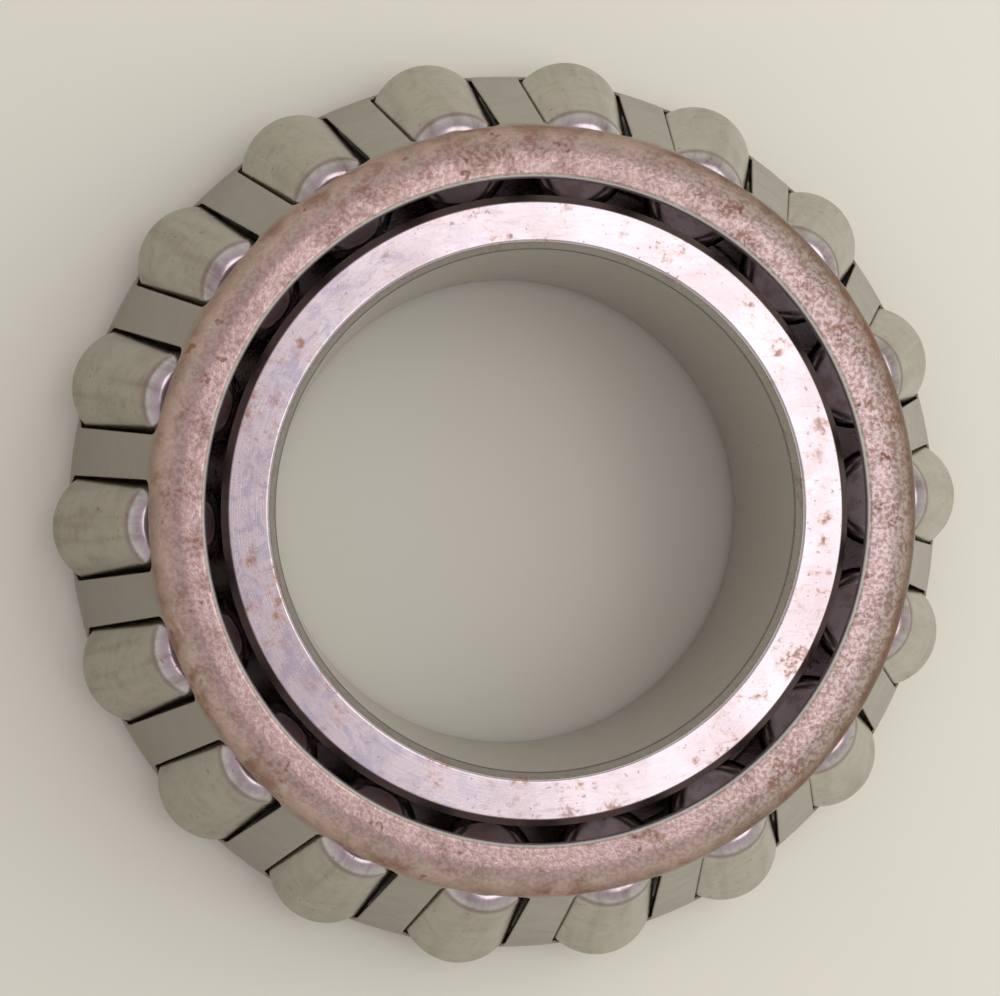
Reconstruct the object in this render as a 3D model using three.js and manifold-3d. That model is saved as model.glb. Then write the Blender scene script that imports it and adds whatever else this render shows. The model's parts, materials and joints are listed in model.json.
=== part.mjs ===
// The cone assembly of a single-row tapered roller bearing: an inner ring, a pressed steel cage and 18 tapered
// rollers. Millimetres. The bearing axis is +Z, the wide back face of the inner ring stands on z = 0, and the narrow
// front face looks up. The cage turns about +Z, and each roller turns about its own axis, which leans towards +Z.
// Every roller axis and both raceway cones meet at one apex on the bearing axis, so the rollers roll without sliding.

import * as THREE from "three";
import { mergeVertices } from "three/addons/utils/BufferGeometryUtils.js";
import Module from "manifold-3d";

const wasm = await Module();
wasm.setup();

// Driving dimensions of the bearing
const BORE_RADIUS = 23.8125;
const RING_WIDTH = 29.37;
const ROLLER_COUNT = 18;
const ROLLER_TILT = THREE.MathUtils.degToRad(21.7); // between a roller's axis and the bearing axis
const ROLLER_LENGTH = 21.7;
const LARGE_END_RADIUS = 5.83; // of a roller, at its large end
const ENVELOPE_RADIUS = 45.95; // of the circle that the rollers' large ends touch
const ENVELOPE_HEIGHT = 6.6; // of that circle above the back face

// Edges and running gaps
const BORE_BACK_CHAMFER = 1.19;
const BORE_FRONT_CHAMFER = { radial: 0.62, axial: 1.23 };
const LARGE_END_CHAMFER = 0.7;
const SMALL_END_CHAMFER = 1.5;
const RACEWAY_GAP = 0.08; // a roller's radial play on the raceway
const RIB_GAP = 0.12; // between a roller's large end and the thrust rib

// Ribs of the inner ring
const BACK_RIB_RADIUS = 38.2;
const BACK_RIB_CHAMFER = 0.8;
const FRONT_RIB_RADIUS = 28.7;
const FRONT_RIB_CHAMFER = { radial: 0.71, axial: 0.77 };
const FRONT_RIB_GAP = 0.45; // between the front rib and a roller's small end
const UNDERCUT = { depth: 0.42, width: 0.85 }; // the grinding relief at each end of the raceway

// Pressed cage, given by its outer surface
const SHEET = 1.5;
const CAGE_FLANGE_RADIUS = 30.05; // inner edge of the flange at the front
const CAGE_FLANGE_HEIGHT = 30.8;
const CAGE_SHOULDER_BEND = 3.5;
const CAGE_SLOPE = THREE.MathUtils.degToRad(20.95);
const CAGE_SKIRT_RADIUS = 44.25; // of the straight rim at the back
const CAGE_SKIRT_BEND = 2.5;
const CAGE_SKIRT_TOP = 4.3;
const CAGE_SKIRT_FOOT = 0.9;

// Pocket windows, measured along and across a roller's axis
const POCKET_BEYOND_LARGE_END = 0.7;
const POCKET_BEYOND_SMALL_END = 2.45;
const POCKET_HALF_WIDTH = { large: 5.07, small: 4.03 };
const POCKET_CORNER = 1.1;
const POCKET_FLARE = 0.35; // how much a window's half width grows per millimetre towards the inside
const POCKET_DEPTH = { inner: 1.2, outer: 6.4 }; // the cutter's reach outwards from a roller's axis

// Facets
const RING_FACETS = 72;
const ROLLER_FACETS = 24;
const SHOULDER_STEPS = 4;
const CORNER_STEPS = 2;

// Places that follow from the driving dimensions
const sinTilt = Math.sin(ROLLER_TILT);
const cosTilt = Math.cos(ROLLER_TILT);
const LARGE_END = {
  r: ENVELOPE_RADIUS - LARGE_END_RADIUS * cosTilt,
  z: ENVELOPE_HEIGHT - LARGE_END_RADIUS * sinTilt,
};
const TAPER = (LARGE_END_RADIUS * sinTilt) / LARGE_END.r; // tangent of a roller's half angle
const SMALL_END_RADIUS = LARGE_END_RADIUS - ROLLER_LENGTH * TAPER;

const steel = (color, roughness) => new THREE.MeshStandardMaterial({ color, roughness, metalness: 1 });

// A point of the section plane, from its place along a roller's axis and outwards from that axis
function onRoller(along, out) {
  return {
    r: LARGE_END.r - along * sinTilt + out * cosTilt,
    z: LARGE_END.z + along * cosTilt + out * sinTilt,
  };
}

// A solid of revolution about +Z, from points that run up its outside
function turned(points, facets) {
  const profile = points.map((p) => new THREE.Vector2(p.r, p.z));
  const geometry = new THREE.LatheGeometry(profile, facets);
  return geometry.rotateX(Math.PI / 2);
}

function arc(centre, radius, from, to, steps) {
  return Array.from({ length: steps + 1 }, (_, i) => {
    const angle = from + ((to - from) * i) / steps;
    return { r: centre.r + radius * Math.cos(angle), z: centre.z + radius * Math.sin(angle) };
  });
}

// The inner ring: bore, two faces, the conical raceway between a thrust rib and a small front rib
function innerRing() {
  const raceway = (along) => onRoller(along, -(LARGE_END_RADIUS - along * TAPER) - RACEWAY_GAP);
  const large = raceway(UNDERCUT.width);
  const small = raceway(ROLLER_LENGTH - UNDERCUT.width);
  const ribFace = (r) => LARGE_END.z - RIB_GAP / cosTilt + (r - LARGE_END.r) * Math.tan(ROLLER_TILT);
  const smallEnd = onRoller(ROLLER_LENGTH + FRONT_RIB_GAP, 0);
  const frontRibFace = (r) => smallEnd.z + (r - smallEnd.r) * Math.tan(ROLLER_TILT);
  const backRelief = large.r - UNDERCUT.depth;
  const backRibRoot = large.r + UNDERCUT.width;
  const frontRelief = small.r - UNDERCUT.depth;
  const frontFaceRadius = FRONT_RIB_RADIUS - FRONT_RIB_CHAMFER.radial;
  const outline = [
    { r: BORE_RADIUS + BORE_BACK_CHAMFER, z: 0 },
    { r: BACK_RIB_RADIUS - BACK_RIB_CHAMFER, z: 0 },
    { r: BACK_RIB_RADIUS, z: BACK_RIB_CHAMFER },
    { r: BACK_RIB_RADIUS, z: ribFace(BACK_RIB_RADIUS) },
    { r: backRibRoot, z: ribFace(backRibRoot) },
    { r: backRelief, z: ribFace(backRelief) },
    { r: large.r, z: large.z },
    { r: small.r, z: small.z },
    { r: frontRelief, z: small.z + UNDERCUT.depth },
    { r: frontRelief, z: frontRibFace(frontRelief) },
    { r: FRONT_RIB_RADIUS, z: frontRibFace(FRONT_RIB_RADIUS) },
    { r: FRONT_RIB_RADIUS, z: RING_WIDTH - FRONT_RIB_CHAMFER.axial },
    { r: frontFaceRadius, z: RING_WIDTH },
    { r: BORE_RADIUS + BORE_FRONT_CHAMFER.radial, z: RING_WIDTH },
    { r: BORE_RADIUS, z: RING_WIDTH - BORE_FRONT_CHAMFER.axial },
    { r: BORE_RADIUS, z: BORE_BACK_CHAMFER },
  ];
  return turned([...outline, outline[0]], RING_FACETS);
}

// The cage before its windows are cut: one sheet, bent inwards at the front and straight down at the back
function cageShell() {
  const slopeNormal = CAGE_SLOPE; // the angle of the cone's outward normal above the horizontal
  const skirtCentre = { r: CAGE_SKIRT_RADIUS - CAGE_SKIRT_BEND, z: CAGE_SKIRT_TOP };
  const bendTop = {
    r: skirtCentre.r + CAGE_SKIRT_BEND * Math.cos(slopeNormal),
    z: skirtCentre.z + CAGE_SKIRT_BEND * Math.sin(slopeNormal),
  };
  const shoulderZ = CAGE_FLANGE_HEIGHT - CAGE_SHOULDER_BEND;
  const shoulderTouch = CAGE_SHOULDER_BEND * Math.sin(slopeNormal);
  const slopeRun = (shoulderZ + shoulderTouch - bendTop.z) * Math.tan(CAGE_SLOPE);
  const shoulderCentre = {
    r: bendTop.r - slopeRun - CAGE_SHOULDER_BEND * Math.cos(slopeNormal),
    z: shoulderZ,
  };
  const side = (offset) => [
    { r: CAGE_SKIRT_RADIUS - offset, z: CAGE_SKIRT_FOOT },
    ...arc(skirtCentre, CAGE_SKIRT_BEND - offset, 0, slopeNormal, CORNER_STEPS),
    ...arc(shoulderCentre, CAGE_SHOULDER_BEND - offset, slopeNormal, Math.PI / 2, SHOULDER_STEPS),
    { r: CAGE_FLANGE_RADIUS, z: CAGE_FLANGE_HEIGHT - offset },
  ];
  const outside = side(0);
  const inside = side(SHEET).reverse();
  return turned([...outside, ...inside, outside[0]], RING_FACETS);
}

// The outline of one window, x across the roller and y along its axis, with rounded corners
function pocketOutline() {
  const bottom = -POCKET_BEYOND_LARGE_END;
  const top = ROLLER_LENGTH + POCKET_BEYOND_SMALL_END;
  const { large, small } = POCKET_HALF_WIDTH;
  const corners = [
    new THREE.Vector2(-large, bottom),
    new THREE.Vector2(large, bottom),
    new THREE.Vector2(small, top),
    new THREE.Vector2(-small, top),
  ];
  const outline = new THREE.Shape();
  corners.forEach((corner, i) => {
    const before = corners[(i + corners.length - 1) % corners.length];
    const after = corners[(i + 1) % corners.length];
    const start = before.clone().sub(corner).setLength(POCKET_CORNER).add(corner);
    const end = after.clone().sub(corner).setLength(POCKET_CORNER).add(corner);
    if (i === 0) outline.moveTo(start.x, start.y);
    else outline.lineTo(start.x, start.y);
    outline.quadraticCurveTo(corner.x, corner.y, end.x, end.y);
  });
  outline.closePath();
  return outline;
}

// The cutter of one window in a roller's own frame, +z along its axis and +x outwards, widening towards the axis
function pocketCutter() {
  const depth = POCKET_DEPTH.outer - POCKET_DEPTH.inner;
  const geometry = new THREE.ExtrudeGeometry(pocketOutline(), {
    depth,
    bevelEnabled: false,
    curveSegments: CORNER_STEPS,
  });
  const position = geometry.attributes.position;
  for (let i = 0; i < position.count; i += 1) {
    const inwards = position.getZ(i) - depth / 2;
    const across = position.getX(i);
    position.setX(i, across + Math.sign(across) * POCKET_FLARE * inwards);
  }
  geometry.rotateX(Math.PI / 2); // the outline's y becomes z, and the depth runs to -y
  geometry.translate(0, POCKET_DEPTH.outer, 0);
  return geometry.rotateZ(-Math.PI / 2); // y becomes x
}

function toSolid(geometry) {
  const plain = geometry.clone();
  plain.deleteAttribute("normal");
  plain.deleteAttribute("uv");
  const merged = mergeVertices(plain, 1e-4);
  const vertProperties = new Float32Array(merged.attributes.position.array);
  const triVerts = new Uint32Array(merged.index.array);
  return new wasm.Manifold(new wasm.Mesh({ numProp: 3, vertProperties, triVerts }));
}

function toGeometry(solid) {
  const mesh = solid.getMesh();
  const geometry = new THREE.BufferGeometry();
  geometry.setAttribute("position", new THREE.BufferAttribute(new Float32Array(mesh.vertProperties), 3));
  geometry.setIndex(new THREE.BufferAttribute(new Uint32Array(mesh.triVerts), 1));
  geometry.computeVertexNormals();
  return geometry;
}

// Carries a piece from a roller's own frame, +z along its axis and +x outwards, to its place round the bearing
function rollerPlace(index) {
  const turn = (2 * Math.PI * index) / ROLLER_COUNT;
  return new THREE.Matrix4()
    .makeRotationZ(turn)
    .multiply(new THREE.Matrix4().makeTranslation(LARGE_END.r, 0, LARGE_END.z))
    .multiply(new THREE.Matrix4().makeRotationY(-ROLLER_TILT));
}

function cage() {
  const cutter = pocketCutter();
  let solid = toSolid(cageShell());
  for (let i = 0; i < ROLLER_COUNT; i += 1) {
    solid = solid.subtract(toSolid(cutter.clone().applyMatrix4(rollerPlace(i))));
  }
  return toGeometry(solid);
}

// One roller in its own frame: a truncated cone with a chamfer at each end
function rollerGeometry() {
  const radius = (along) => LARGE_END_RADIUS - along * TAPER;
  const outline = [
    { r: 0, z: 0 },
    { r: radius(0) - LARGE_END_CHAMFER, z: 0 },
    { r: radius(LARGE_END_CHAMFER), z: LARGE_END_CHAMFER },
    { r: radius(ROLLER_LENGTH - SMALL_END_CHAMFER), z: ROLLER_LENGTH - SMALL_END_CHAMFER },
    { r: SMALL_END_RADIUS - SMALL_END_CHAMFER, z: ROLLER_LENGTH },
    { r: 0, z: ROLLER_LENGTH },
  ];
  return turned(outline, ROLLER_FACETS);
}

function named(name, geometry, material) {
  const mesh = new THREE.Mesh(geometry, material);
  mesh.name = name;
  return mesh;
}

const bearing = new THREE.Group();
bearing.add(named("inner_ring", innerRing(), steel(0xb8aaa8, 0.35)));
bearing.add(named("cage", cage(), steel(0x97817a, 0.5)));

for (let i = 0; i < ROLLER_COUNT; i += 1) {
  const label = String(i + 1).padStart(2, "0");
  const roller = named(`roller_${label}`, rollerGeometry(), steel(0x96937f, 0.2));
  roller.applyMatrix4(rollerPlace(i));
  bearing.add(roller);
}

export default bearing;
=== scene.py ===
"""The cone assembly of a tapered roller bearing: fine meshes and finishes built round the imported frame.

Sizes inside the functions are in millimetres, and a mesh is written in metres. Sections are drawn in
the plane of the bearing axis, r outwards and z up. A roller's own frame has "along" up its axis from
the middle of its large end and "out" away from its axis.
"""

import json
import math

import bmesh
import bpy
import numpy as np
from mathutils import Matrix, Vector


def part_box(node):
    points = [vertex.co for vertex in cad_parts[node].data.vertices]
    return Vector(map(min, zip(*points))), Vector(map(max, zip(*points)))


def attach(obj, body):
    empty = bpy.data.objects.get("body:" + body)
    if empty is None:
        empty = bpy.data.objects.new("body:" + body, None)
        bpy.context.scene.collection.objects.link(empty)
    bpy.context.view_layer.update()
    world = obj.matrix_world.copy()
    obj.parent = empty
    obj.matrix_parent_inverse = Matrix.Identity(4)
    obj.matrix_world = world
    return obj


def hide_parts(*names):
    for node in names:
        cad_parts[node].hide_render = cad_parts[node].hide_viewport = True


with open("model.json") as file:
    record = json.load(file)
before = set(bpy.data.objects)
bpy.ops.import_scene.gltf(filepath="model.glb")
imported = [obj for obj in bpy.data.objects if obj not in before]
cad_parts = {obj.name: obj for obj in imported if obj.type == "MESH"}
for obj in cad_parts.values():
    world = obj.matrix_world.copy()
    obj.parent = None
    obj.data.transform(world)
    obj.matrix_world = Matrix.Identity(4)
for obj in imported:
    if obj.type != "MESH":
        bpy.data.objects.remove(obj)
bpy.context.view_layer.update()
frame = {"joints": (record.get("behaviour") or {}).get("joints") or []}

bl_info = {
    "name": "Tapered roller bearing",
    "version": (1, 0, 0),
    "blender": (4, 5, 0),
    "location": "View3D > Sidebar > Bearing",
    "description": "Builds the inner ring, the pressed cage and the tapered rollers, with their finishes",
    "category": "Add Mesh",
}

MM = 1000.0

# How finely the surfaces are divided
RING_COLUMNS = 360
ROLLER_COLUMNS = 80
DOME_STEPS = 9
SECTION_STEPS = 4001
SIDE_STEPS = 36  # along a window's long side
END_STEPS = 20  # along its short side
BAR_SHARES = np.array([1.0, 0.8, 0.6, 0.42, 0.26, 0.13, 0.05])  # rows from a bar's middle to its window
BEND_STEPS = 30  # over the shoulder, from the windows to the flange's edge
FOOT_STEPS = 16  # from the windows to the foot's edge
RIM_EDGE_STEPS = 9
RIM_GUARD = 0.3  # how far the plain run stops short of the rim's rounding, in radii of it
ARC_STEP = math.radians(14)
ARC_GUARD = 0.12  # how far a guard point stands beyond an arc, in radii of it
WELD = 1e-6  # metres

# Upward parts of a unit direction between which the room's walls turn into its ceiling
CEILING_STARTS = (0.2, 0.95)

# Places that the frame gives, in millimetres
ROLLER_JOINTS = [j for j in frame["joints"] if j["name"].startswith("roller_")]
FIRST = ROLLER_JOINTS[0]
ROLLER_COUNT = len(ROLLER_JOINTS)
PITCH = 2 * math.pi / ROLLER_COUNT
LARGE_END_R = math.hypot(FIRST["pos_m"][0], FIRST["pos_m"][1]) * MM
LARGE_END_Z = FIRST["pos_m"][2] * MM
TILT = math.atan2(math.hypot(FIRST["axis"][0], FIRST["axis"][1]), FIRST["axis"][2])
RING_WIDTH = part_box("inner_ring")[1].z * MM
RING_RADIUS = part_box("inner_ring")[1].x * MM
CAGE_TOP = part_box("cage")[1].z * MM
CAGE_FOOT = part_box("cage")[0].z * MM
CAGE_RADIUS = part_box("cage")[1].x * MM


def length(name, default_mm, description):
    """A length property. Its default is given in millimetres and kept in metres."""
    return bpy.props.FloatProperty(
        name=name, description=description, default=default_mm / MM, unit="LENGTH")


def angle(name, default_deg, description):
    """An angle property, with its default in degrees."""
    return bpy.props.FloatProperty(
        name=name, description=description, default=math.radians(default_deg), unit="ROTATION")


def share(name, default, description):
    """A property from 0 to 1."""
    return bpy.props.FloatProperty(
        name=name, description=description, default=default, min=0.0, max=1.0, subtype="FACTOR")


def colour(name, default, description):
    """A linear colour property."""
    return bpy.props.FloatVectorProperty(
        name=name, description=description, default=default, size=3, min=0.0, max=1.0, subtype="COLOR")


class RingSize(bpy.types.PropertyGroup):
    """The inner ring's section. Its width and its largest radius come from the frame."""

    bore: length("Bore radius", 23.8125, "Radius of the bore")
    back_chamfer: length("Back chamfer", 1.19, "Leg of the bore's chamfer at the wide face")
    front_chamfer: length("Front chamfer", 0.62, "Radial leg of the bore's chamfer at the narrow face")
    front_chamfer_depth: length("Front chamfer depth", 1.23, "Axial leg of the bore's front chamfer")
    front_rib: length("Front rib radius", 28.7, "Radius of the rib that keeps the rollers on")
    front_rib_chamfer: length("Front rib chamfer", 0.71, "Radial leg of the front rib's chamfer")
    front_rib_chamfer_depth: length("Front rib chamfer depth", 0.77, "Axial leg of the front rib's chamfer")
    front_rib_gap: length("Front rib gap", 0.45, "Between the front rib and a roller's small end")
    back_rib_chamfer: length("Back rib chamfer", 0.8, "Leg of the thrust rib's outer chamfer")
    raceway_gap: length("Raceway gap", 0.08, "Between the raceway and a roller")
    rib_gap: length("Rib gap", 0.12, "Between the thrust rib and a roller's large end")
    relief_depth: length("Relief depth", 0.42, "Depth of the grinding relief at each end of the raceway")
    relief_width: length("Relief width", 0.85, "Width of that relief")
    edge: length("Edge rounding", 0.18, "Radius of the ring's broken edges")
    bore_edge: length("Bore edge rounding", 0.35, "Radius of the edge from the narrow face to the chamfer")


class CageSize(bpy.types.PropertyGroup):
    """The cage's sheet and its windows. Its height, foot and largest radius come from the frame."""

    sheet: length("Sheet", 1.5, "Thickness of the pressed sheet")
    flange: length("Flange radius", 30.05, "Radius of the flange's inner edge")
    shoulder_bend: length("Shoulder bend", 3.5, "Outer radius of the bend into the flange")
    slope: angle("Slope", 20.95, "Between the wall and the bearing axis")
    skirt_bend: length("Skirt bend", 2.5, "Outer radius of the bend into the straight rim")
    skirt_top: length("Skirt top", 4.3, "Height at which the straight rim starts")
    beyond_large: length("Window past the large end", 0.7, "How far it reaches past the large end")
    beyond_small: length("Window past the small end", 2.45, "How far it reaches past the small end")
    half_large: length("Half width at the large end", 5.07, "Half of a window's width at its wide end")
    half_small: length("Half width at the small end", 4.03, "Half of a window's width at its narrow end")
    half_level: length("Width level", 3.8, "Distance from a roller's axis where widths are measured")
    flare: share("Flare", 0.35, "How much a half width grows per unit of depth towards the inside")
    corner: length("Window corner", 1.1, "Radius of a window's corners")
    edge: length("Edge rounding", 0.28, "Radius of the windows' blanked edges")
    rim_edge: length("Rim rounding", 0.5, "Radius of the flange's and the foot's edges")


class RollerSize(bpy.types.PropertyGroup):
    """A tapered roller. Its place and its lean come from its joint in the frame."""

    large: length("Large end radius", 5.83, "Radius at the large end")
    long: length("Length", 21.7, "Length along the axis")
    large_edge: length("Large end rounding", 0.95, "Radius of the edge at the large end")
    small_edge: length("Small end rounding", 1.8, "Radius of the edge at the small end")
    dome: length("End dome", 0.1, "How far the middle of the large end stands out")


class Finishes(bpy.types.PropertyGroup):
    """The colours of the steels, of their rust, of the painted shade and reflections, and of the paper
    below.
    """

    ring: colour("Ring steel", (0.70, 0.66, 0.67), "Ground bearing steel")
    bore: colour("Bore", (0.60, 0.59, 0.52), "The oily steel of the bore")
    wall: colour("Cage wall", (0.265, 0.240, 0.198), "The cage's smooth wall and bars")
    shoulder: colour("Cage shoulder", (0.64, 0.47, 0.42), "The cage's stained shoulder and flange")
    # Also laid as a painted highlight, more on the right side, in the cage crown's sparkle
    bare_and_highlight: colour("Bare edge", (0.97, 0.94, 0.93), "The flange's bright blanked edge")
    roller: colour("Roller steel", (0.390, 0.366, 0.300), "Polished bearing steel")
    # Painted reflection: the bluish tint on the left side of the ring's face
    left_reflection: colour("Blued steel", (0.44, 0.43, 0.55), "The bluish haze on parts of the ground face")
    # Painted reflection: the darker band on a roller's small-end rounding
    painted_edge_reflection: colour("Roller edge", (0.34, 0.28, 0.29), "The duller rounding at a roller's small end")
    roller_end: colour("Roller end", (0.72, 0.62, 0.67), "The dull grey of a roller's small end")
    bloom: colour("Rust bloom", (0.58, 0.38, 0.27), "The thin brown film round the rust")
    rust: colour("Rust", (0.27, 0.10, 0.06), "Thin rust")
    # Also laid as painted shade on the cage's outer bend and on the right side of its shoulder
    stain_and_shade: colour("Stain", (0.21, 0.135, 0.095), "Old oil and handling stains")
    # Painted shade in the ring's corners and raceway, inside the cage's wall and on the left rollers' small
    # ends
    painted_shade: colour("Grime", (0.10, 0.042, 0.042), "Dark grease in the corners")
    paper: colour("Paper", (0.885, 0.915, 0.80), "The pale floor")


class StageSettings(bpy.types.PropertyGroup):
    """The floor, the lights and the camera."""

    floor: length("Floor", 3000.0, "Side of the floor")
    camera_place: bpy.props.FloatVectorProperty(
        name="Camera place", description="Where the camera stands", default=(-0.02461, 0.0005, 0.22804),
        size=3, subtype="TRANSLATION", unit="LENGTH")
    camera_target: bpy.props.FloatVectorProperty(
        name="Camera target", description="The point that it looks at", default=(-0.00049, 0.00137, 0.0),
        size=3, subtype="TRANSLATION", unit="LENGTH")
    camera_turn: angle("Camera turn", 2.26, "How far the top of the frame is turned from +Y towards +X")
    camera_lens: bpy.props.FloatProperty(
        name="Lens", description="Focal length of the camera", default=79.56, unit="CAMERA")
    softbox_power: bpy.props.FloatProperty(
        name="Softbox power", description="Power of the overhead softbox", default=0.70, unit="POWER")
    side_power: bpy.props.FloatProperty(
        name="Side power", description="Power of the light at the side", default=0.80, unit="POWER")
    softbox_place: bpy.props.FloatVectorProperty(
        name="Softbox place", description="Where the softbox hangs, facing straight down",
        default=(0.196, 0.038, 0.73), size=3, subtype="TRANSLATION", unit="LENGTH")
    softbox_size: bpy.props.FloatVectorProperty(
        name="Softbox size", description="The softbox's two sides", default=(0.35, 0.46), size=2,
        unit="LENGTH")
    softbox_turn: angle("Softbox turn", 12.41, "How far the softbox is turned about the vertical")
    side_place: bpy.props.FloatVectorProperty(
        name="Side light place", description="Where the side light stands, facing the bearing",
        default=(0.30, 0.05, 0.28), size=3, subtype="TRANSLATION", unit="LENGTH")
    side_size: bpy.props.FloatVectorProperty(
        name="Side light size", description="The side light's two sides", default=(0.5, 0.45), size=2,
        unit="LENGTH")
    ceiling: colour("Ceiling", (0.47, 0.39, 0.43), "Light of the room from above")
    walls: colour("Walls", (0.57, 0.57, 0.505), "Light of the room from the sides")


class Shade:
    """A value or a colour inside a material. Arithmetic on values adds Math nodes."""

    def __init__(self, tree, socket=None):
        self.tree = tree
        self.socket = socket

    def node(self, kind, settings=None, sockets=None, output=0):
        """Adds a node of that kind, with its settings first and then its sockets' values or links."""
        made = self.tree.nodes.new(kind)
        for name, value in (settings or {}).items():
            if name == "stops":
                ramp = made.color_ramp.elements
                while len(ramp) < len(value):
                    ramp.new(0.5)
                for element, (place, shade) in zip(ramp, value):
                    element.position = place
                    element.color = (*shade, 1.0) if len(shade) == 3 else (shade[0],) * 3 + (1.0,)
            else:
                setattr(made, name, value)
        for name, value in (sockets or {}).items():
            if isinstance(value, Shade):
                self.tree.links.new(value.socket, made.inputs[name])
            else:
                made.inputs[name].default_value = value
        return Shade(self.tree, made.outputs[output])

    def math(self, operation, *values):
        """A Math node on those values."""
        return self.node("ShaderNodeMath", {"operation": operation}, dict(enumerate(values)))

    def __add__(self, other):
        return self.math("ADD", self, other)

    def __radd__(self, other):
        return self.math("ADD", other, self)

    def __sub__(self, other):
        return self.math("SUBTRACT", self, other)

    def __rsub__(self, other):
        return self.math("SUBTRACT", other, self)

    def __mul__(self, other):
        return self.math("MULTIPLY", self, other)

    def __rmul__(self, other):
        return self.math("MULTIPLY", other, self)

    def __truediv__(self, other):
        return self.math("DIVIDE", self, other)

    def step(self, low, high, start=0.0, end=1.0):
        """Goes smoothly from start to end as the value goes from low to high."""
        if low > high:
            low, high, start, end = high, low, end, start
        return self.node(
            "ShaderNodeMapRange", {"interpolation_type": "SMOOTHSTEP", "clamp": True},
            {"Value": self, "From Min": low, "From Max": high, "To Min": start, "To Max": end})

    def vector(self, x, y, z):
        return self.node("ShaderNodeCombineXYZ", None, {"X": x, "Y": y, "Z": z})

    def scaled(self, factor):
        """This vector times a number, or times three numbers."""
        by = factor if isinstance(factor, tuple) else (factor, factor, factor)
        return self.node("ShaderNodeVectorMath", {"operation": "MULTIPLY"}, {0: self, 1: by})

    def noise(self, scale=1.0, detail=3.0, roughness=0.5, distortion=0.0):
        """Noise of this vector, around 0.5."""
        return self.node(
            "ShaderNodeTexNoise", {"noise_dimensions": "3D"},
            {"Vector": self, "Scale": scale, "Detail": detail, "Roughness": roughness,
             "Distortion": distortion})

    def blend(self, first, second):
        """The first colour where this value is 0, and the second where it is 1."""
        return self.node(
            "ShaderNodeMix", {"data_type": "RGBA", "clamp_factor": True},
            {0: self, 6: _opaque(first), 7: _opaque(second)}, output=2)


def _opaque(value):
    """A colour that a Mix node takes: a link as it is, or three numbers with a full alpha."""
    return value if isinstance(value, Shade) else (*value, 1.0)


class Metal:
    """A material under construction: its object coordinates in millimetres, and the coordinates of a
    turned piece."""

    def __init__(self, name):
        self.material = bpy.data.materials.new(name)
        self.material.use_nodes = True
        tree = self.material.node_tree
        self.shader = next(n for n in tree.nodes if n.type == "BSDF_PRINCIPLED")
        self.tree = tree
        self.place = Shade(tree).node("ShaderNodeTexCoord", output=3).scaled(MM)
        self.x, self.y, self.z = self.split(self.place)
        self.radius = self.place.math("SQRT", self.x * self.x + self.y * self.y)
        self.across = self.x / self.radius
        self.up = self.y / self.radius

    def split(self, vector):
        """The three parts of a vector."""
        parts = self.tree.nodes.new("ShaderNodeSeparateXYZ")
        self.tree.links.new(vector.socket, parts.inputs[0])
        return [Shade(self.tree, out) for out in parts.outputs]

    def wound(self, turns, radial, axial):
        """A vector that goes round the bearing axis without a seam, as fine as the three numbers say."""
        height = self.radius * radial + self.z * axial
        return self.place.vector(self.across * turns, self.up * turns, height)

    def finish(self, base, roughness, bump=None, metallic=1.0, strength=0.3, distance=0.00002):
        """Feeds the shader, with the bump's distance in metres, and gives back the material."""
        links = self.tree.links
        for name, value in (("Base Color", base), ("Roughness", roughness), ("Metallic", metallic)):
            if isinstance(value, Shade):
                links.new(value.socket, self.shader.inputs[name])
            else:
                self.shader.inputs[name].default_value = value
        if bump is not None:
            relief = bump.node(
                "ShaderNodeBump", None, {"Height": bump, "Strength": strength, "Distance": distance})
            links.new(relief.socket, self.shader.inputs["Normal"])
        return self.material


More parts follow.
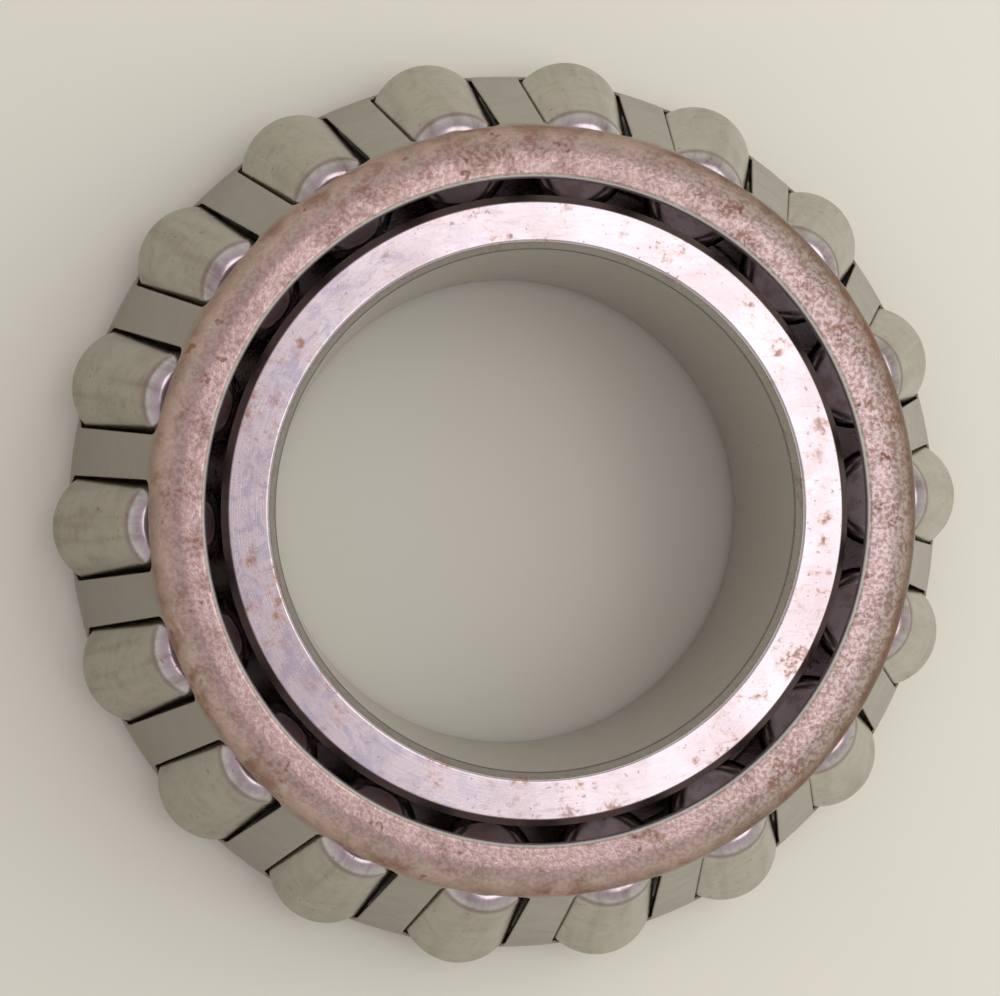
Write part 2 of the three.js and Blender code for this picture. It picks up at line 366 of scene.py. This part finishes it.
def ring_finish(looks, ring):
    """Ground steel: fine rings of grinding marks, a bluish painted reflection on the left side, scuffs,
    rust specks with a brown film round them in loose groups, and an oily bore. Painted shade darkens the
    front rib's chamfer, the raceway, the back chamfer and the foot of the front chamfer."""
    m = Metal("ground_ring_steel")
    bore_r = ring.bore * MM
    front_r, front_z = bore_r + ring.front_chamfer * MM, RING_WIDTH - ring.front_chamfer_depth * MM
    rib_r = (ring.front_rib - ring.front_rib_chamfer) * MM
    lay = m.wound(5.0, 9.0, 9.0).noise(1.0, 4.0, 0.65)
    clouds = m.place.noise(0.13, 4.0, 0.6)
    # Painted reflection: a bluish tint on the left side of the face, where it mirrors the dim room
    left_reflection_mask = m.wound(9.0, 0.5, 0.5).noise(1.0, 5.0, 0.65, 0.6).step(0.45, 0.62) * m.across.step(0.1, -0.7)
    scuffs = m.place.scaled((0.5, 2.6, 1.0)).noise(1.0, 5.0, 0.7, 0.8).step(0.5, 0.8)
    groups = m.place.noise(0.22, 2.0, 0.5).step(0.47, 0.62)
    film = m.place.noise(0.8, 5.0, 0.65)
    specks = film.step(0.54, 0.68) * groups
    dots = m.place.noise(2.2, 2.0, 0.5).step(0.66, 0.76)
    bore = m.radius.step(bore_r + 0.19, bore_r + 0.05)
    rib_chamfer = m.radius.step(rib_r - 0.09, rib_r + 0.06) * m.z.step(26.0, 27.0)
    bore_chamfer = (m.radius.step(front_r + 0.07, front_r - 0.05)
                    * m.z.step(front_z - 0.14, front_z + 0.16))
    foot = bore * m.z.step(front_z - 0.39, front_z - 0.14) * m.z.step(front_z + 0.31, front_z + 0.06)
    back_chamfer = m.radius.step(25.3, 25.0) * m.z.step(1.4, 1.1)
    raceway = m.radius.step(24.6, 24.9) * m.z.step(26.6, 26.2) * m.z.step(6.0, 7.0)
    rust = (specks * 0.65 + dots * 0.4) * (1.0 - bore * 0.85)
    base = (left_reflection_mask * 0.6).blend(looks.ring, looks.left_reflection)
    base = (clouds.step(0.4, 0.7) * 0.2 + scuffs * 0.08).blend(base, looks.stain_and_shade)
    base = (bore * (1.0 - bore_chamfer)).blend(base, looks.bore)
    base = (bore_chamfer * 0.7).blend(base, looks.bare_and_highlight)
    base = (film.step(0.46, 0.6) * groups * (1.0 - bore) * 0.4).blend(base, looks.bloom)
    base = rust.blend(base, looks.rust)
    # Painted shade: the front rib's chamfer, the foot of the front chamfer, the back chamfer and the
    # raceway are darkened
    base = (rib_chamfer * 0.8 + foot * 0.6 + back_chamfer * 0.7 + raceway * 0.7).blend(base, looks.painted_shade)
    roughness = 0.13 + lay * 0.12 + clouds * 0.08 + scuffs * 0.1 + rust * 0.3 + rib_chamfer * 0.2
    return m.finish(base, roughness, lay + scuffs * 0.08 - rust * 0.5, 1.0 - rust * 0.7)


def cage_finish(looks, cage):
    """Pressed steel: a grainy, stained shoulder with broad rust blotches and short draw streaks near the
    flange, a bright blanked edge, and a smoother oily wall. Painted shade browns the outer part of the bend
    and the shoulder's right side, a painted highlight brightens the crown's sparkle on that side, and
    painted shade darkens the wall's inner side."""
    m = Metal("pressed_cage_steel")
    top, flange = CAGE_TOP, cage.flange * MM
    shoulder = m.z.step(top - 2.8, top - 1.6)
    crown = m.z.step(top - 1.1, top - 0.05)
    # Painted shade: the outer part of the shoulder's bend is browned
    outer = m.z.step(top - 3.4, top - 2.4) * m.z.step(top - 0.5, top - 2.0)
    rim = m.radius.step(flange + 0.35, flange + 0.15) * m.z.step(top - 1.4, top - 1.1)
    streaks = m.wound(30.0, 0.6, 0.6).noise(1.0, 5.0, 0.7)
    grain = m.place.noise(2.4, 4.0, 0.65)
    mottle = m.place.noise(0.36, 3.0, 0.55, 0.4)
    patches = m.place.noise(0.15, 3.0, 0.55, 0.5).step(0.47, 0.6)
    # Painted shade and highlight: the right side, where the lights fall, is browned more on the shoulder
    # and sparkles brighter on the crown
    right_side = m.across.step(0.1, 0.9)
    blotches = patches * mottle.step(0.4, 0.65)
    dots = m.place.noise(0.6, 2.0, 0.5).step(0.68, 0.73)
    rust = (blotches * 0.6 + dots * 0.7) * (0.05 + shoulder * 0.95) * (1.0 - rim)
    stain_and_shade_amount = grain.step(0.44, 0.64) * (0.1 + right_side * 0.12) + mottle.step(0.4, 0.65) * 0.24
    stain_and_shade_amount = stain_and_shade_amount + crown * streaks.step(0.5, 0.7) * 0.14 + right_side * (1.0 - crown) * 0.45
    stain_and_shade_amount = shoulder * stain_and_shade_amount + outer * 0.55
    # Painted shade on the inner side of the wall, between the rollers
    depth = m.radius * math.cos(cage.slope) + m.z * math.sin(cage.slope)
    inside = depth.step(42.1, 41.75) * m.z.step(top - 2.8, top - 3.8)
    base = shoulder.blend(looks.wall, looks.shoulder)
    base = (stain_and_shade_amount + (1.0 - shoulder) * mottle.step(0.35, 0.7) * 0.08).blend(base, looks.stain_and_shade)
    base = rust.blend(base, looks.rust)
    base = (rim + crown * grain.step(0.57, 0.41) * (0.25 + right_side * 0.25)).blend(base, looks.bare_and_highlight)
    base = (inside * 0.75).blend(base, looks.painted_shade)
    roughness = 0.2 + shoulder * (grain * 0.15 + 0.12) + mottle * 0.1 + rust * 0.25 - crown * 0.12
    hammered = shoulder * (1.0 - rim) * m.across.step(-0.8, 0.4, 0.5, 1.0)
    relief = hammered * (grain + streaks * crown * 0.4) + mottle * 0.25 - rust * 0.2
    return m.finish(base, roughness, relief, 1.0 - rust * 0.6, strength=0.6, distance=0.00015)


def roller_finish(looks, long):
    """Polished steel with a film of oil, faint bands along its length, and a dull small end. A painted dark
    band and a painted bright band on the small end's rounding stand for its reflections, and painted shade
    darkens the small ends on the left side."""
    m = Metal("polished_roller_steel")
    sin_tilt, cos_tilt = math.sin(TILT), math.cos(TILT)
    along = (LARGE_END_R - m.radius) * sin_tilt + (m.z - LARGE_END_Z) * cos_tilt
    end = along.step(long - 0.08, long - 0.01)
    # Painted reflection and highlight: a darker band, then a brighter band, on the small end's rounding
    edge = along.step(long - 2.0, long - 1.5)
    painted_highlight_band = along.step(long - 1.2, long - 0.8)
    film = m.place.noise(0.16, 4.0, 0.6)
    bands = m.wound(26.0, 0.1, 0.1).noise(1.0, 4.0, 0.6)
    mottle = m.place.noise(0.6, 5.0, 0.6)
    dots = m.place.noise(1.5, 2.0, 0.5).step(0.68, 0.74)
    grey = bands.step(0.42, 0.72) * 0.4 + mottle.step(0.42, 0.75) * 0.35 + film.step(0.5, 0.75) * 0.25
    base = edge.blend(looks.roller, looks.painted_edge_reflection)
    base = painted_highlight_band.blend(base, looks.ring)
    base = grey.blend(base, looks.stain_and_shade)
    base = end.blend(base, looks.roller_end)
    # Painted shade: the small ends on the left side are darkened
    base = (end * m.across.step(0.5, -0.4) * 0.8).blend(base, looks.painted_shade)
    base = (dots * 0.5 + end * mottle.step(0.45, 0.65) * 0.45).blend(base, looks.rust)
    roughness = 0.14 + film * 0.1 + bands * 0.08 + dots * 0.2 + end * 0.35
    return m.finish(base, roughness, mottle + bands, 1.0 - end * 0.8, strength=0.12)


def paper_finish(looks):
    """Plain matt paper with a faint mottle."""
    m = Metal("pale_paper")
    mottle = m.place.noise(0.02, 4.0, 0.6)
    darker = tuple(0.95 * v for v in looks.paper)
    return m.finish(mottle.blend(darker, looks.paper), 0.85, m.place.noise(2.0, 3.0, 0.6), 0.0, 0.1)


def grid_faces(rows, columns, closed_rows=False, closed_columns=False):
    """The four corners of every cell of a grid whose points are numbered row by row."""
    i = np.arange(rows if closed_rows else rows - 1)[:, None]
    j = np.arange(columns if closed_columns else columns - 1)[None, :]
    below, beside = (i + 1) % rows, (j + 1) % columns
    corners = (i * columns + j, i * columns + beside, below * columns + beside, below * columns + j)
    return np.stack([c.ravel() for c in corners], axis=1)


def add_piece(name, patches, material, body, node):
    """Makes one closed piece from (points, faces) patches in millimetres: the patches are welded where
    they meet, their faces turned outwards, and the piece takes the place of its CAD node."""
    points, faces, start = [], [], 0
    for patch_points, patch_faces in patches:
        flat = patch_points.reshape(-1, 3)
        points.append(flat)
        faces.append(patch_faces + start)
        start += len(flat)
    mesh = bpy.data.meshes.new(name)
    mesh.from_pydata((np.concatenate(points) / MM).tolist(), [], np.concatenate(faces).tolist())
    work = bmesh.new()
    work.from_mesh(mesh)
    bmesh.ops.remove_doubles(work, verts=work.verts, dist=WELD)
    bmesh.ops.recalc_face_normals(work, faces=work.faces)
    if work.calc_volume(signed=True) < 0:
        bmesh.ops.reverse_faces(work, faces=work.faces)
    if any(len(edge.link_faces) != 2 for edge in work.edges):
        raise RuntimeError(f"{name} isn't closed")
    work.to_mesh(mesh)
    work.free()
    mesh.polygons.foreach_set("use_smooth", np.ones(len(mesh.polygons), bool))
    mesh.materials.append(material)
    piece = bpy.data.objects.new(name, mesh)
    bpy.context.scene.collection.objects.link(piece)
    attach(piece, body)
    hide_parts(node)


def rounded(corners, closed):
    """A section line whose corners are arcs. corners holds (r, z, radius); the arc of each is cut off
    where it touches the two straight lines, and a guard point a little beyond each end keeps the flats
    flat when shaded."""
    corners = np.array(corners, float)
    count = len(corners)
    line = []
    for i, (r, z, radius) in enumerate(corners):
        here = np.array((r, z))
        if radius == 0 or (not closed and i in (0, count - 1)):
            line.append(here)
            continue
        before = corners[(i - 1) % count, :2] - here
        after = corners[(i + 1) % count, :2] - here
        before_unit, after_unit = before / np.linalg.norm(before), after / np.linalg.norm(after)
        half = math.acos(np.clip(before_unit @ after_unit, -1, 1)) / 2
        cut = radius / math.tan(half)
        bisector = (before_unit + after_unit) / np.linalg.norm(before_unit + after_unit)
        centre = here + bisector * radius / math.sin(half)
        first, last = here + before_unit * cut, here + after_unit * cut
        steps = max(3, math.ceil((math.pi - 2 * half) / ARC_STEP))
        turn = np.linspace(0, 1, steps + 1)[:, None]
        spread = math.pi - 2 * half
        arms = (np.sin((1 - turn) * spread) * (first - centre) + np.sin(turn * spread) * (last - centre))
        guard = ARC_GUARD * radius
        line.append(first + before_unit * guard)
        line.extend(centre + arms / math.sin(spread))
        line.append(last + after_unit * guard)
    return np.array(line)


def turned(section, columns, closed):
    """A surface of revolution: each point of the section goes round the z axis, x = r cos(a) and y = r
    sin(a)."""
    around = np.arange(columns) * 2 * math.pi / columns
    r, z = section[:, :1], section[:, 1:]
    points = np.stack([r * np.cos(around), r * np.sin(around), z + 0 * around], axis=2)
    return points, grid_faces(len(section), columns, closed_rows=closed, closed_columns=True)


def on_roller(along, out):
    """The section point at that place along a roller's axis and out from it."""
    r = LARGE_END_R - along * math.sin(TILT) + out * math.cos(TILT)
    z = LARGE_END_Z + along * math.cos(TILT) + out * math.sin(TILT)
    return r, z


def roller_radius(rollers, along):
    """A roller's radius at that place: a cone whose apex lies on the bearing axis."""
    large = rollers.large * MM
    return large - along * large * math.sin(TILT) / LARGE_END_R


def ring_section(ring, rollers):
    """The inner ring's section, from the wide face outwards and up, as corners with their rounding."""
    long, edge = rollers.long * MM, ring.edge * MM
    width, depth = ring.relief_width * MM, ring.relief_depth * MM
    slope = math.tan(TILT)
    rib, bore = RING_RADIUS, ring.bore * MM

    def raceway(along):
        return on_roller(along, -roller_radius(rollers, along) - ring.raceway_gap * MM)

    def thrust_face(r):
        return LARGE_END_Z - ring.rib_gap * MM / math.cos(TILT) + (r - LARGE_END_R) * slope

    def front_rib_face(r):
        end_r, end_z = on_roller(long + ring.front_rib_gap * MM, 0)
        return end_z + (r - end_r) * slope

    low_r, low_z = raceway(width)
    high_r, high_z = raceway(long - width)
    front = ring.front_rib * MM
    chamfer = ring.back_rib_chamfer * MM
    back = ring.back_chamfer * MM
    return [
        (bore + back, 0, edge),
        (rib - chamfer, 0, edge),
        (rib, chamfer, edge),
        (rib, thrust_face(rib), edge),
        (low_r - depth, thrust_face(low_r - depth), edge),
        (low_r, low_z, edge),
        (high_r, high_z, edge),
        (high_r - depth, high_z + depth, edge / 2),
        (high_r - depth, front_rib_face(high_r - depth), edge / 2),
        (front, front_rib_face(front), edge),
        (front, RING_WIDTH - ring.front_rib_chamfer_depth * MM, edge),
        (front - ring.front_rib_chamfer * MM, RING_WIDTH, edge),
        (bore + ring.front_chamfer * MM, RING_WIDTH, ring.bore_edge * MM),
        (bore, RING_WIDTH - ring.front_chamfer_depth * MM, edge),
        (bore, back, edge),
    ]


class CageSheet:
    """The cage's sheet as a surface of two parameters: v, the length along the outside of the section
    from the flange's inner edge, and h, the distance outwards from that line. The line's normal leans
    by an angle that stays the same on the straight stretches and falls evenly along the two bends; its
    integral gives the line."""

    def __init__(self, cage, rollers):
        self.cage, self.rollers = cage, rollers
        slope = cage.slope
        bend, skirt_bend = cage.shoulder_bend * MM, cage.skirt_bend * MM
        skirt_r = CAGE_RADIUS
        top = CAGE_TOP
        shoulder_turn = math.pi / 2 - slope
        bend_top_r = skirt_r - skirt_bend * (1 - math.cos(slope))
        bend_top_z = cage.skirt_top * MM + skirt_bend * math.sin(slope)
        wall_z = top - bend + bend * math.sin(slope)
        wall = (wall_z - bend_top_z) / math.cos(slope)
        shoulder_r = bend_top_r - wall * math.sin(slope) - bend * math.cos(slope)
        lengths = [
            shoulder_r - cage.flange * MM,
            bend * shoulder_turn,
            wall,
            skirt_bend * slope,
            cage.skirt_top * MM - CAGE_FOOT,
        ]
        self.knots = np.concatenate([[0], np.cumsum(lengths)])
        self.leans = np.array([math.pi / 2, math.pi / 2, slope, slope, 0, 0])
        self.v = np.linspace(0, self.knots[-1], SECTION_STEPS)
        lean = np.interp(self.v, self.knots, self.leans)
        step = self.v[1]
        run, fall = np.sin(lean), -np.cos(lean)
        self.r = cage.flange * MM + np.concatenate([[0], np.cumsum((run[1:] + run[:-1]) / 2)]) * step
        self.z = top + np.concatenate([[0], np.cumsum((fall[1:] + fall[:-1]) / 2)]) * step
        window_top, window_bottom = self.window(np.zeros(2), np.array((1.0, -1.0)), 0.0, 0.0)[1]
        margin = cage.edge * MM * 3
        self.v_above, self.v_below = window_top - margin, window_bottom + margin

    def at(self, turn, v, h):
        """The point at that angle round the bearing axis."""
        lean = np.interp(v, self.knots, self.leans)
        r = np.interp(v, self.v, self.r) + h * np.cos(lean)
        z = np.interp(v, self.v, self.z) + h * np.sin(lean)
        return np.stack(np.broadcast_arrays(r * np.cos(turn), r * np.sin(turn), z), axis=-1)

    def window(self, square_x, square_y, inset, h):
        """The angle and v of a window's edge, for points round the edge of a square from -1 to 1. The
        square is stretched to the window, its corners are rounded, and its sides lean as the window
        narrows. inset moves the edge into the sheet."""
        cage = self.cage
        bottom, top = -cage.beyond_large * MM, self.rollers.long * MM + cage.beyond_small * MM
        half_long, middle = (top - bottom) / 2, (top + bottom) / 2
        wide, narrow = cage.half_large * MM, cage.half_small * MM
        half_wide = (wide + narrow) / 2
        corner = cage.corner * MM + inset
        reach = np.array((half_wide + inset, half_long + inset))
        square = np.stack([square_x, square_y], axis=-1) * reach
        core = np.clip(square, corner - reach, reach - corner)
        away = square - core
        size = np.maximum(np.linalg.norm(away, axis=-1, keepdims=True), 1e-9)
        x, y = np.moveaxis(core + away / size * corner, -1, 0)
        along = middle + y
        v = self.wall_v(along, h)
        r = np.interp(v, self.v, self.r) + h * math.cos(cage.slope)
        z = np.interp(v, self.v, self.z) + h * math.sin(cage.slope)
        out = (r - LARGE_END_R) * math.cos(TILT) + (z - LARGE_END_Z) * math.sin(TILT)
        half = wide + (narrow - wide) * (along - bottom) / (top - bottom)
        half = half + cage.flare * (cage.half_level * MM - out)
        return np.arcsin(x / half_wide * half / r), v

    def wall_v(self, along, h):
        """v on the straight wall from a place along the roller, which grows evenly against it."""
        ends = self.knots[2:4]
        r = np.interp(ends, self.v, self.r) + h * math.cos(self.cage.slope)
        z = np.interp(ends, self.v, self.z) + h * math.sin(self.cage.slope)
        seen = (LARGE_END_R - r) * math.sin(TILT) + (z - LARGE_END_Z) * math.cos(TILT)
        return ends[0] + (along - seen[0]) * (ends[1] - ends[0]) / (seen[1] - seen[0])


def square_edge():
    """Points round the edge of a square, the same number on facing sides."""
    across = np.linspace(-1, 1, END_STEPS, endpoint=False)
    upwards = np.linspace(-1, 1, SIDE_STEPS, endpoint=False)
    x = np.concatenate([across, np.ones(SIDE_STEPS), -across, -np.ones(SIDE_STEPS)])
    y = np.concatenate([-np.ones(END_STEPS), upwards, np.ones(END_STEPS), -upwards])
    return x, y


def rounded_edge(sheet, edge, steps=4):
    """The way over a blanked edge, from the outside of the sheet to its inside, as (inset, h) pairs: a
    quarter circle, the straight cut, and another quarter circle."""
    turn = np.linspace(0, math.pi / 2, steps)
    over = np.stack([edge * (1 - np.sin(turn)), -edge * (1 - np.cos(turn))], axis=1)
    under = np.stack([over[::-1, 0], -sheet - over[::-1, 1]], axis=1)
    return np.concatenate([over, under])


def window_patch(sheet):
    """One window with the sheet round it, out to the middle of the bars: the outside closes in on the
    window, goes over its edge, and the inside opens out again."""
    cage = sheet.cage
    x, y = square_edge()
    thick, edge = cage.sheet * MM, cage.edge * MM
    top, bottom = sheet.v_above, sheet.v_below
    outer_turn = x * PITCH / 2
    outer_v = (top + bottom) / 2 - y * (bottom - top) / 2
    rows = []
    for h, order in ((0.0, BAR_SHARES), (-thick, BAR_SHARES[::-1])):
        turn, v = sheet.window(x, y, edge, h)
        for outwards in order:
            rows.append(sheet.at(turn + (outer_turn - turn) * outwards, v + (outer_v - v) * outwards, h))
        if h == 0.0:
            for inset, depth in rounded_edge(thick, edge):
                rows.append(sheet.at(*sheet.window(x, y, inset, depth), depth))
    points = np.stack(rows)
    return points, grid_faces(len(rows), len(x), closed_columns=True)


def rim_patch(sheet, v_inner, v_rim, steps):
    """A plain band of the sheet, from v_inner on the outside over the rim at v_rim and back inside."""
    cage = sheet.cage
    thick, edge = cage.sheet * MM, cage.rim_edge * MM
    inwards = math.copysign(1.0, v_inner - v_rim)
    run = np.linspace(v_inner, v_rim + inwards * edge * (1 + RIM_GUARD), steps)
    cut = rounded_edge(thick, edge, RIM_EDGE_STEPS)
    v = np.concatenate([run, v_rim + inwards * cut[:, 0], run[::-1]])
    h = np.concatenate([np.zeros(steps), cut[:, 1], np.full(steps, -thick)])
    columns = ROLLER_COUNT * END_STEPS
    turn = (np.arange(columns) / END_STEPS - 0.5) * PITCH
    points = sheet.at(turn[None, :], v[:, None], h[:, None])
    return points, grid_faces(len(v), columns, closed_columns=True)


def turned_round(points, turn):
    """The points, turned round the bearing axis."""
    c, s = math.cos(turn), math.sin(turn)
    return points @ np.array([[c, s, 0], [-s, c, 0], [0, 0, 1]])


def roller_section(rollers):
    """A roller's section in its own frame, r out from its axis and z along it, from the slightly domed
    large end to the small one."""
    long, large = rollers.long * MM, rollers.large * MM
    dome, small = rollers.dome * MM, roller_radius(rollers, rollers.long * MM)
    rim = large - rollers.large_edge * MM
    dome_r = np.linspace(0, rim, DOME_STEPS)[:-1]
    dome_z = dome * (dome_r / rim) ** 2
    shell = rounded([
        (dome_r[-1], dome_z[-1], 0),
        (roller_radius(rollers, dome), dome, rollers.large_edge * MM),
        (small, long, rollers.small_edge * MM),
        (0, long, 0),
    ], closed=False)
    return np.concatenate([np.stack([dome_r[:-1], dome_z[:-1]], axis=1), shell])


def placed_roller(points, joint):
    """The points of a roller's own frame, carried to where its joint says."""
    axis = np.array(joint["axis"])
    place = np.array(joint["pos_m"]) * MM
    turn = math.atan2(place[1], place[0])
    side = np.array((-math.sin(turn), math.cos(turn), 0))
    out = np.cross(side, axis)
    return points @ np.stack([out, side, axis]) + place


class BEARING_OT_inner_ring(bpy.types.Operator):
    """Turn the inner ring from its section"""

    bl_idname = "bearing.inner_ring"
    bl_label = "Inner ring"

    def execute(self, context):
        scene = context.scene
        section = rounded(ring_section(scene.bearing_ring, scene.bearing_roller), closed=True)
        patch = turned(section, RING_COLUMNS, closed=True)
        finish = ring_finish(scene.bearing_finish, scene.bearing_ring)
        add_piece("ground_inner_ring", [patch], finish, "ring", "inner_ring")
        return {"FINISHED"}


class BEARING_OT_cage(bpy.types.Operator):
    """Press the cage and cut its windows"""

    bl_idname = "bearing.cage"
    bl_label = "Cage"

    def execute(self, context):
        scene = context.scene
        cage = scene.bearing_cage
        sheet = CageSheet(cage, scene.bearing_roller)
        points, faces = window_patch(sheet)
        patches = [(turned_round(points, i * PITCH), faces) for i in range(ROLLER_COUNT)]
        patches.append(rim_patch(sheet, sheet.v_above, 0.0, BEND_STEPS))
        patches.append(rim_patch(sheet, sheet.v_below, sheet.knots[-1], FOOT_STEPS))
        finish = cage_finish(scene.bearing_finish, cage)
        add_piece("pressed_cage", patches, finish, "cage", "cage")
        return {"FINISHED"}


class BEARING_OT_rollers(bpy.types.Operator):
    """Grind the tapered rollers and set them in the windows"""

    bl_idname = "bearing.rollers"
    bl_label = "Tapered rollers"

    def execute(self, context):
        scene = context.scene
        finish = roller_finish(scene.bearing_finish, scene.bearing_roller.long * MM)
        points, faces = turned(roller_section(scene.bearing_roller), ROLLER_COLUMNS, closed=False)
        for joint in ROLLER_JOINTS:
            node = joint["child"]
            add_piece(f"polished_{node}", [(placed_roller(points.reshape(-1, 3), joint), faces)], finish,
                      node, node)
        return {"FINISHED"}


def add_light(name, power, tint, place, aim, upwards, size, shows=True):
    """A rectangular soft light. One that doesn't show isn't mirrored by the steel."""
    light = bpy.data.lights.new(name, "AREA")
    light.energy = power
    light.color = tint
    light.shape = "RECTANGLE"
    light.size, light.size_y = size
    lamp = bpy.data.objects.new(name, light)
    lamp.matrix_world = looking(place, aim, upwards)
    lamp.visible_camera = False
    lamp.visible_glossy = shows
    bpy.context.scene.collection.objects.link(lamp)


def looking(place, aim, upwards):
    """The matrix of a camera or lamp at place that looks at aim, with its top towards upwards."""
    place, aim = np.array(place, float), np.array(aim, float)
    back = (place - aim) / np.linalg.norm(place - aim)
    right = np.cross(upwards, back)
    right = right / np.linalg.norm(right)
    matrix = np.eye(4)
    matrix[:3] = np.stack([right, np.cross(back, right), back, place], axis=1)
    return Matrix(matrix.tolist())


class BEARING_OT_stage(bpy.types.Operator):
    """Lay the paper and set the lights and the camera"""

    bl_idname = "bearing.stage"
    bl_label = "Stage"

    def execute(self, context):
        scene, stage = context.scene, context.scene.bearing_stage
        half = stage.floor / 2
        mesh = bpy.data.meshes.new("paper_floor")
        corners = [(-half, -half, 0), (half, -half, 0), (half, half, 0), (-half, half, 0)]
        mesh.from_pydata(corners, [], [(0, 1, 2, 3)])
        mesh.materials.append(paper_finish(scene.bearing_finish))
        floor = bpy.data.objects.new("paper_floor", mesh)
        scene.collection.objects.link(floor)

        world = bpy.data.worlds.new("soft_room")
        scene.world = world
        world.use_nodes = True
        tree = world.node_tree
        background = next(n for n in tree.nodes if n.type == "BACKGROUND")
        direction = Shade(tree).node("ShaderNodeTexCoord")
        height = direction.node("ShaderNodeSeparateXYZ", None, {0: direction}, output=2)
        room = height.step(*CEILING_STARTS).blend(stage.walls, stage.ceiling)
        tree.links.new(room.socket, background.inputs["Color"])
        x, y, z = stage.softbox_place
        turn = stage.softbox_turn
        add_light("softbox", stage.softbox_power, (1.0, 0.93, 0.96), (x, y, z), (x, y, 0.0),
                  (-math.sin(turn), math.cos(turn), 0.0), stage.softbox_size)
        add_light("side_light", stage.side_power, (1.0, 0.99, 0.93), stage.side_place, (0.0, 0.0, 0.0),
                  (0.0, 1.0, 0.0), stage.side_size, shows=False)

        camera = bpy.data.cameras.new("camera")
        camera.lens = stage.camera_lens
        eye = bpy.data.objects.new("camera", camera)
        upwards = (math.sin(stage.camera_turn), math.cos(stage.camera_turn), 0.0)
        eye.matrix_world = looking(stage.camera_place, stage.camera_target, upwards)
        camera.clip_start = 0.01
        scene.collection.objects.link(eye)
        scene.camera = eye
        scene.view_settings.view_transform = "Standard"
        return {"FINISHED"}


class BEARING_PT_panel(bpy.types.Panel):
    """The bearing's pieces, in the order in which they are made"""

    bl_idname = "BEARING_PT_panel"
    bl_label = "Tapered roller bearing"
    bl_space_type = "VIEW_3D"
    bl_region_type = "UI"
    bl_category = "Bearing"

    def draw(self, context):
        for operator in OPERATORS:
            self.layout.operator(operator.bl_idname)
        for name in GROUPS:
            group = getattr(context.scene, name)
            box = self.layout.box()
            for key in group.__annotations__:
                box.prop(group, key)


GROUPS = {
    "bearing_ring": RingSize,
    "bearing_cage": CageSize,
    "bearing_roller": RollerSize,
    "bearing_finish": Finishes,
    "bearing_stage": StageSettings,
}
OPERATORS = (BEARING_OT_inner_ring, BEARING_OT_cage, BEARING_OT_rollers, BEARING_OT_stage)
CLASSES = (*GROUPS.values(), *OPERATORS, BEARING_PT_panel)


def register():
    for cls in CLASSES:
        bpy.utils.register_class(cls)
    for name, group in GROUPS.items():
        setattr(bpy.types.Scene, name, bpy.props.PointerProperty(type=group))


def unregister():
    for name in GROUPS:
        delattr(bpy.types.Scene, name)
    for cls in reversed(CLASSES):
        bpy.utils.unregister_class(cls)


def main():
    register()
    bpy.ops.bearing.inner_ring()
    bpy.ops.bearing.cage()
    bpy.ops.bearing.rollers()
    bpy.ops.bearing.stage()


if __name__ == "__main__":
    main()
